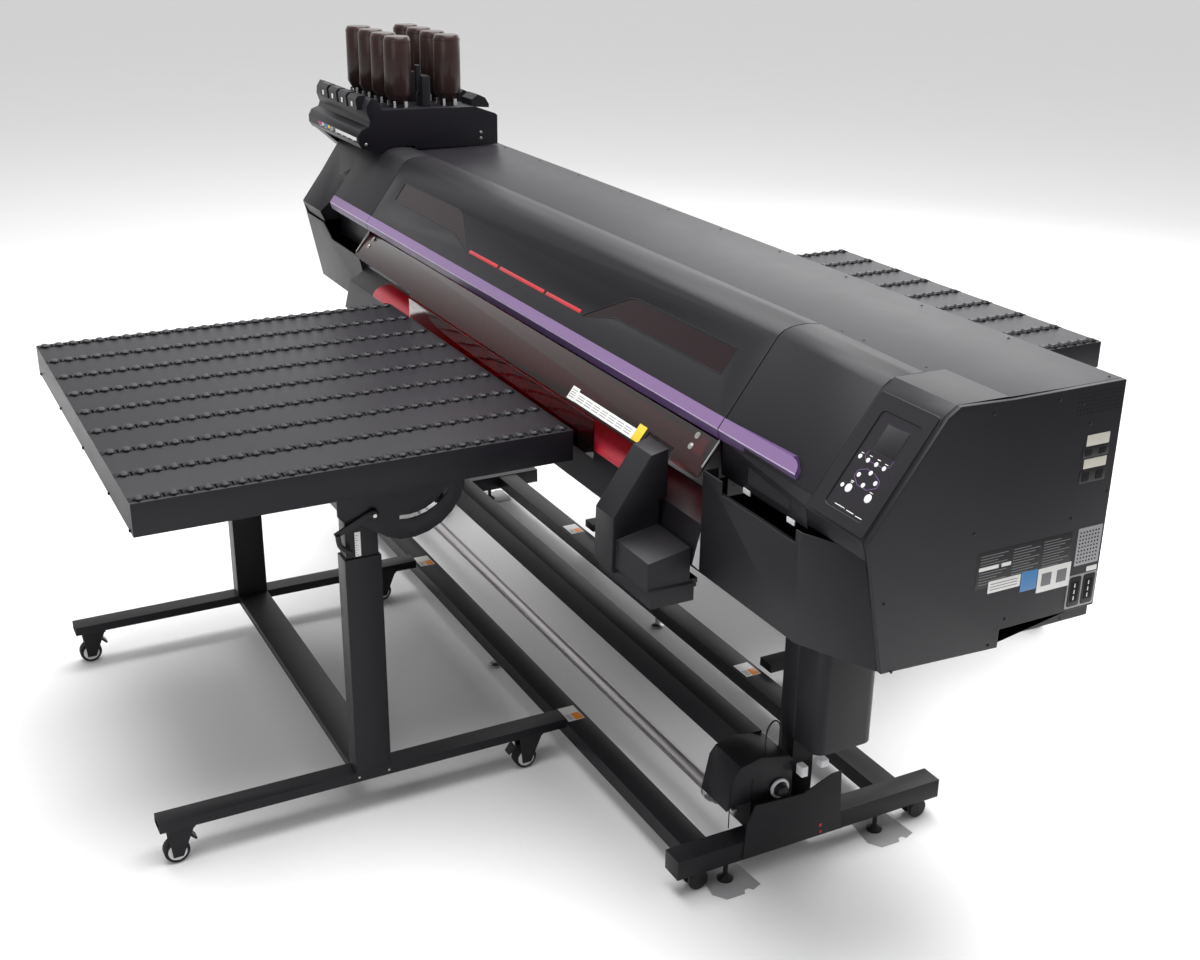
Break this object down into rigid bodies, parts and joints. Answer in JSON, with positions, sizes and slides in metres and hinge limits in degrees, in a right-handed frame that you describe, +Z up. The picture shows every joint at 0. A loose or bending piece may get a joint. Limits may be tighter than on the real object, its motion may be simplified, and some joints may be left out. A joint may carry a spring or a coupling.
{
  "type": "wide-format roll and board printer",
  "caption": "Wide ultraviolet inkjet printer on an open stand, with a roller table in front and behind, a take-up tube and a rack of inverted ink bottles at one end.",
  "frame": {"origin": "centre of the footprint of the bounding box, on the floor", "axes": "+X along the machine to the end with the control panel, +Y to the rear, +Z up"},
  "size_m": [3.46, 2.78, 1.686],
  "materials": {
    "cover_moulding": "fine satin texture",
    "coated_sheet": "satin powder coat",
    "coated_frame": "satin powder coat",
    "bare_metal": "brushed",
    "roller_steel": "ground",
    "foot_steel": "zinc plated",
    "wheel_tread": "matt tread on a white hub",
    "lead_jacket": "matt",
    "red_acrylic": "dark red tinted, polished",
    "red_moulding": "gloss, ribbed lengthwise",
    "ink_bottle": "gloss dark brown",
    "key_cap": "satin"
  },
  "bodies": {
    "printer": {"stand_leg_right": "coated_frame", "stand_leg_left": "coated_frame", "front_beam": "coated_frame", "rear_beam": "coated_frame", "tension_profile": "coated_frame", "take_up_housing": "cover_moulding", "waste_ink_tank": "cover_moulding", "sensor_lead": "lead_jacket", "platen_beam": "coated_sheet", "platen": "bare_metal", "red_guide_lip": "red_moulding", "lower_right_cover": "cover_moulding", "left_end_cover": "cover_moulding", "right_end_panel": "coated_sheet", "front_pod": "cover_moulding", "top_cover": "coated_sheet", "right_cover": "cover_moulding", "control_housing": "cover_moulding", "left_cover": "cover_moulding", "carriage_rail": "bare_metal", "ink_station": "cover_moulding"},
    "front_cover_body": {"front_cover": "cover_moulding", "window_left": "red_acrylic", "window_right": "red_acrylic", "uv_shield": "red_acrylic"},
    "carriage_body": {"print_carriage": "cover_moulding"},
    "feed_roller_body": {"feed_roller": "roller_steel"},
    "take_up_tube_body": {"take_up_tube": "bare_metal"},
    "key_mat_body": {"key_mat": "key_cap"},
    "power_key_body": {"power_key": "key_cap"},
    "levelling_foot_front_left_body": {"levelling_foot_front_left": "foot_steel"},
    "levelling_foot_front_right_body": {"levelling_foot_front_right": "foot_steel"},
    "levelling_foot_rear_left_body": {"levelling_foot_rear_left": "foot_steel"},
    "levelling_foot_rear_right_body": {"levelling_foot_rear_right": "foot_steel"},
    "stand_caster_front_left_body": {"stand_caster_front_left": "wheel_tread"},
    "stand_caster_front_right_body": {"stand_caster_front_right": "wheel_tread"},
    "stand_caster_rear_left_body": {"stand_caster_rear_left": "wheel_tread"},
    "stand_caster_rear_right_body": {"stand_caster_rear_right": "wheel_tread"},
    "ink_bottle_front_1_body": {"ink_bottle_front_1": "ink_bottle"},
    "ink_bottle_front_2_body": {"ink_bottle_front_2": "ink_bottle"},
    "ink_bottle_front_3_body": {"ink_bottle_front_3": "ink_bottle"},
    "ink_bottle_front_4_body": {"ink_bottle_front_4": "ink_bottle"},
    "ink_bottle_rear_1_body": {"ink_bottle_rear_1": "ink_bottle"},
    "ink_bottle_rear_2_body": {"ink_bottle_rear_2": "ink_bottle"},
    "ink_bottle_rear_3_body": {"ink_bottle_rear_3": "ink_bottle"},
    "ink_bottle_rear_4_body": {"ink_bottle_rear_4": "ink_bottle"},
    "front_table_base_body": {"front_table_base": "coated_frame"},
    "front_table_lift_body": {"front_table_lift": "coated_frame"},
    "front_table_tray_body": {"front_table_tray": "coated_sheet"},
    "front_table_wheel_inner_left_body": {"front_table_wheel_inner_left": "wheel_tread"},
    "front_table_wheel_inner_right_body": {"front_table_wheel_inner_right": "wheel_tread"},
    "front_table_wheel_outer_left_body": {"front_table_wheel_outer_left": "wheel_tread"},
    "front_table_wheel_outer_right_body": {"front_table_wheel_outer_right": "wheel_tread"},
    "rear_table_base_body": {"rear_table_base": "coated_frame"},
    "rear_table_lift_body": {"rear_table_lift": "coated_frame"},
    "rear_table_tray_body": {"rear_table_tray": "coated_sheet"},
    "rear_table_wheel_inner_left_body": {"rear_table_wheel_inner_left": "wheel_tread"},
    "rear_table_wheel_inner_right_body": {"rear_table_wheel_inner_right": "wheel_tread"},
    "rear_table_wheel_outer_left_body": {"rear_table_wheel_outer_left": "wheel_tread"},
    "rear_table_wheel_outer_right_body": {"rear_table_wheel_outer_right": "wheel_tread"}
  },
  "joints": [
    {"name": "front_cover_hinge", "type": "hinge", "parent": "printer", "child": "front_cover_body", "pos_m": [0.1, -0.022, 1.318], "axis": [-1, 0, 0], "range_deg": [0, 60]},
    {"name": "carriage_travel", "type": "slide", "parent": "printer", "child": "carriage_body", "axis": [1, 0, 0], "range_m": [-2.2, 0]},
    {"name": "feed_roller_turn", "type": "hinge", "parent": "printer", "child": "feed_roller_body", "pos_m": [0.09, 0, 0.958], "axis": [1, 0, 0], "continuous": true},
    {"name": "take_up_turn", "type": "hinge", "parent": "printer", "child": "take_up_tube_body", "pos_m": [0.0485, -0.18, 0.157], "axis": [1, 0, 0], "continuous": true},
    {"name": "key_mat_press", "type": "slide", "parent": "printer", "child": "key_mat_body", "axis": [0, 0.8031, -0.5958], "range_m": [0, 0.0012], "stiffness_N_per_m": 400},
    {"name": "power_key_press", "type": "slide", "parent": "printer", "child": "power_key_body", "axis": [0, 0.8031, -0.5958], "range_m": [0, 0.0012], "stiffness_N_per_m": 400},
    {"name": "levelling_foot_front_left_screw", "type": "slide", "parent": "printer", "child": "levelling_foot_front_left_body", "axis": [0, 0, 1], "range_m": [0, 0.03]},
    {"name": "levelling_foot_front_right_screw", "type": "slide", "parent": "printer", "child": "levelling_foot_front_right_body", "axis": [0, 0, 1], "range_m": [0, 0.03]},
    {"name": "levelling_foot_rear_left_screw", "type": "slide", "parent": "printer", "child": "levelling_foot_rear_left_body", "axis": [0, 0, 1], "range_m": [0, 0.03]},
    {"name": "levelling_foot_rear_right_screw", "type": "slide", "parent": "printer", "child": "levelling_foot_rear_right_body", "axis": [0, 0, 1], "range_m": [0, 0.03]},
    {"name": "stand_caster_front_left_roll", "type": "hinge", "parent": "printer", "child": "stand_caster_front_left_body", "pos_m": [-1.121, -0.296, 0.026], "axis": [1, 0, 0], "continuous": true},
    {"name": "stand_caster_front_right_roll", "type": "hinge", "parent": "printer", "child": "stand_caster_front_right_body", "pos_m": [1.221, -0.296, 0.026], "axis": [1, 0, 0], "continuous": true},
    {"name": "stand_caster_rear_left_roll", "type": "hinge", "parent": "printer", "child": "stand_caster_rear_left_body", "pos_m": [-1.121, 0.349, 0.026], "axis": [1, 0, 0], "continuous": true},
    {"name": "stand_caster_rear_right_roll", "type": "hinge", "parent": "printer", "child": "stand_caster_rear_right_body", "pos_m": [1.221, 0.349, 0.026], "axis": [1, 0, 0], "continuous": true},
    {"name": "ink_bottle_front_1_lift_out", "type": "slide", "parent": "printer", "child": "ink_bottle_front_1_body", "axis": [0, 0, 1], "range_m": [0, 0.12]},
    {"name": "ink_bottle_front_2_lift_out", "type": "slide", "parent": "printer", "child": "ink_bottle_front_2_body", "axis": [0, 0, 1], "range_m": [0, 0.12]},
    {"name": "ink_bottle_front_3_lift_out", "type": "slide", "parent": "printer", "child": "ink_bottle_front_3_body", "axis": [0, 0, 1], "range_m": [0, 0.12]},
    {"name": "ink_bottle_front_4_lift_out", "type": "slide", "parent": "printer", "child": "ink_bottle_front_4_body", "axis": [0, 0, 1], "range_m": [0, 0.12]},
    {"name": "ink_bottle_rear_1_lift_out", "type": "slide", "parent": "printer", "child": "ink_bottle_rear_1_body", "axis": [0, 0, 1], "range_m": [0, 0.12]},
    {"name": "ink_bottle_rear_2_lift_out", "type": "slide", "parent": "printer", "child": "ink_bottle_rear_2_body", "axis": [0, 0, 1], "range_m": [0, 0.12]},
    {"name": "ink_bottle_rear_3_lift_out", "type": "slide", "parent": "printer", "child": "ink_bottle_rear_3_body", "axis": [0, 0, 1], "range_m": [0, 0.12]},
    {"name": "ink_bottle_rear_4_lift_out", "type": "slide", "parent": "printer", "child": "ink_bottle_rear_4_body", "axis": [0, 0, 1], "range_m": [0, 0.12]},
    {"name": "front_table_undock", "type": "slide", "parent": "printer", "child": "front_table_base_body", "axis": [0, -1, 0], "range_m": [0, 0.5]},
    {"name": "front_table_height", "type": "slide", "parent": "front_table_base_body", "child": "front_table_lift_body", "axis": [0, 0, 1], "range_m": [-0.04, 0.06]},
    {"name": "front_table_tilt", "type": "hinge", "parent": "front_table_lift_body", "child": "front_table_tray_body", "pos_m": [0.03, -0.746, 0.912], "axis": [1, 0, 0], "range_deg": [0, 15]},
    {"name": "front_table_wheel_inner_left_roll", "type": "hinge", "parent": "front_table_base_body", "child": "front_table_wheel_inner_left_body", "pos_m": [-0.518, -0.438, 0.031], "axis": [1, 0, 0], "continuous": true},
    {"name": "front_table_wheel_inner_right_roll", "type": "hinge", "parent": "front_table_base_body", "child": "front_table_wheel_inner_right_body", "pos_m": [0.578, -0.438, 0.031], "axis": [1, 0, 0], "continuous": true},
    {"name": "front_table_wheel_outer_left_roll", "type": "hinge", "parent": "front_table_base_body", "child": "front_table_wheel_outer_left_body", "pos_m": [-0.518, -1.352, 0.031], "axis": [1, 0, 0], "continuous": true},
    {"name": "front_table_wheel_outer_right_roll", "type": "hinge", "parent": "front_table_base_body", "child": "front_table_wheel_outer_right_body", "pos_m": [0.578, -1.352, 0.031], "axis": [1, 0, 0], "continuous": true},
    {"name": "rear_table_undock", "type": "slide", "parent": "printer", "child": "rear_table_base_body", "axis": [0, 1, 0], "range_m": [0, 0.5]},
    {"name": "rear_table_height", "type": "slide", "parent": "rear_table_base_body", "child": "rear_table_lift_body", "axis": [0, 0, 1], "range_m": [-0.04, 0.06]},
    {"name": "rear_table_tilt", "type": "hinge", "parent": "rear_table_lift_body", "child": "rear_table_tray_body", "pos_m": [0.03, 0.746, 0.912], "axis": [-1, 0, 0], "range_deg": [0, 15]},
    {"name": "rear_table_wheel_inner_left_roll", "type": "hinge", "parent": "rear_table_base_body", "child": "rear_table_wheel_inner_left_body", "pos_m": [-0.518, 0.438, 0.031], "axis": [1, 0, 0], "continuous": true},
    {"name": "rear_table_wheel_inner_right_roll", "type": "hinge", "parent": "rear_table_base_body", "child": "rear_table_wheel_inner_right_body", "pos_m": [0.578, 0.438, 0.031], "axis": [1, 0, 0], "continuous": true},
    {"name": "rear_table_wheel_outer_left_roll", "type": "hinge", "parent": "rear_table_base_body", "child": "rear_table_wheel_outer_left_body", "pos_m": [-0.518, 1.352, 0.031], "axis": [1, 0, 0], "continuous": true},
    {"name": "rear_table_wheel_outer_right_roll", "type": "hinge", "parent": "rear_table_base_body", "child": "rear_table_wheel_outer_right_body", "pos_m": [0.578, 1.352, 0.031], "axis": [1, 0, 0], "continuous": true}
  ]
}
